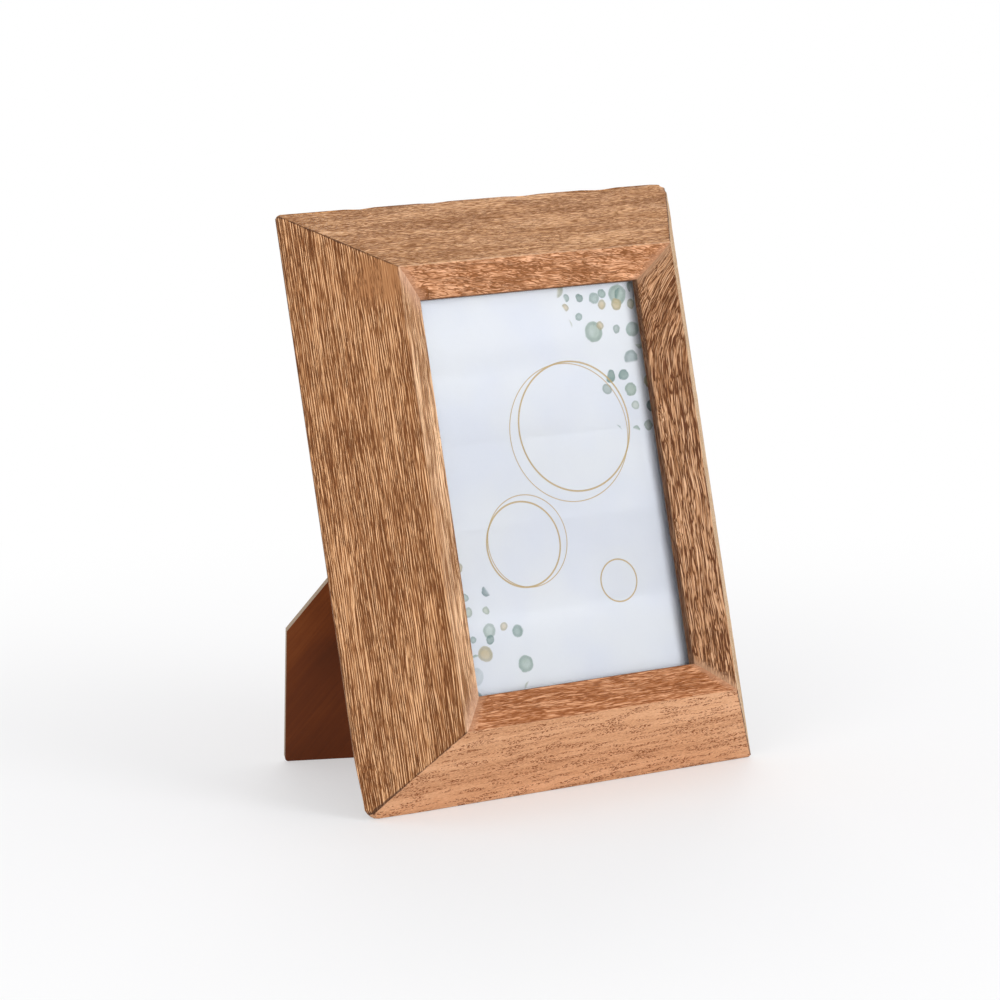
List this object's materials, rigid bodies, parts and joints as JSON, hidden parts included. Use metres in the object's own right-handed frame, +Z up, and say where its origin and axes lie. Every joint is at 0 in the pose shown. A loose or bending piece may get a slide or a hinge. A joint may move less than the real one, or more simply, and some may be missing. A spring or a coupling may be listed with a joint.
{
  "type": "easel back photo frame",
  "caption": "Standing wooden photo frame with a deep splayed moulding, a bevelled sight edge and an easel strut with a slanting foot.",
  "frame": {"origin": "on the table, in the middle of the edge that the bottom rail stands on", "axes": "+X to the right seen from the front, -Y towards the viewer, +Z up; the frame leans back by 15.3 degrees"},
  "size_m": [0.164, 0.1174, 0.2045],
  "materials": {
    "moulding_wood": "wire-brushed hardwood, waxed",
    "nail_steel": "bright strip steel",
    "pane": "clear float glass",
    "photo_paper": "satin photo paper, printed",
    "card": "plain grey board",
    "fibreboard": "raw fibreboard",
    "faced_board": "fibreboard faced in dark brown, raw edges",
    "hinge_steel": "plated sheet steel",
    "button_steel": "plated sheet steel",
    "fastener_steel": "plated steel"
  },
  "bodies": {
    "frame": {"stile_left": "moulding_wood", "stile_right": "moulding_wood", "rail_top": "moulding_wood", "rail_bottom": "moulding_wood", "corner_nails": "nail_steel", "glass": "pane", "print_sheet": "photo_paper", "backing_card": "card", "spacer_left": "fibreboard", "spacer_right": "fibreboard", "spacer_top": "fibreboard", "spacer_bottom": "fibreboard", "back_board": "faced_board", "hinge_leaf_board": "hinge_steel", "hinge_pin": "hinge_steel", "board_rivets": "fastener_steel", "button_screws": "fastener_steel"},
    "strut": {"strut_board": "faced_board", "hinge_leaf_strut": "hinge_steel", "strut_rivets": "fastener_steel"},
    "turn_button_left": {"turn_button_left": "button_steel"},
    "turn_button_right": {"turn_button_right": "button_steel"},
    "turn_button_top": {"turn_button_top": "button_steel"},
    "turn_button_bottom": {"turn_button_bottom": "button_steel"}
  },
  "joints": [
    {"name": "strut_swing", "type": "hinge", "parent": "frame", "child": "strut", "pos_m": [0.00765, 0.03326, 0.11084], "axis": [-0.791, 0.1614, 0.5902], "range_deg": [0, 35.6]},
    {"name": "left_button_turn", "type": "hinge", "parent": "frame", "child": "turn_button_left", "pos_m": [-0.065, 0.03007, 0.10146], "axis": [0, -0.9646, 0.2637], "continuous": true},
    {"name": "right_button_turn", "type": "hinge", "parent": "frame", "child": "turn_button_right", "pos_m": [0.065, 0.03007, 0.10146], "axis": [0, -0.9646, 0.2637], "continuous": true},
    {"name": "top_button_turn", "type": "hinge", "parent": "frame", "child": "turn_button_top", "pos_m": [0, 0.0538, 0.18827], "axis": [0, -0.9646, 0.2637], "continuous": true},
    {"name": "bottom_button_turn", "type": "hinge", "parent": "frame", "child": "turn_button_bottom", "pos_m": [0, 0.00634, 0.01464], "axis": [0, -0.9646, 0.2637], "continuous": true}
  ]
}
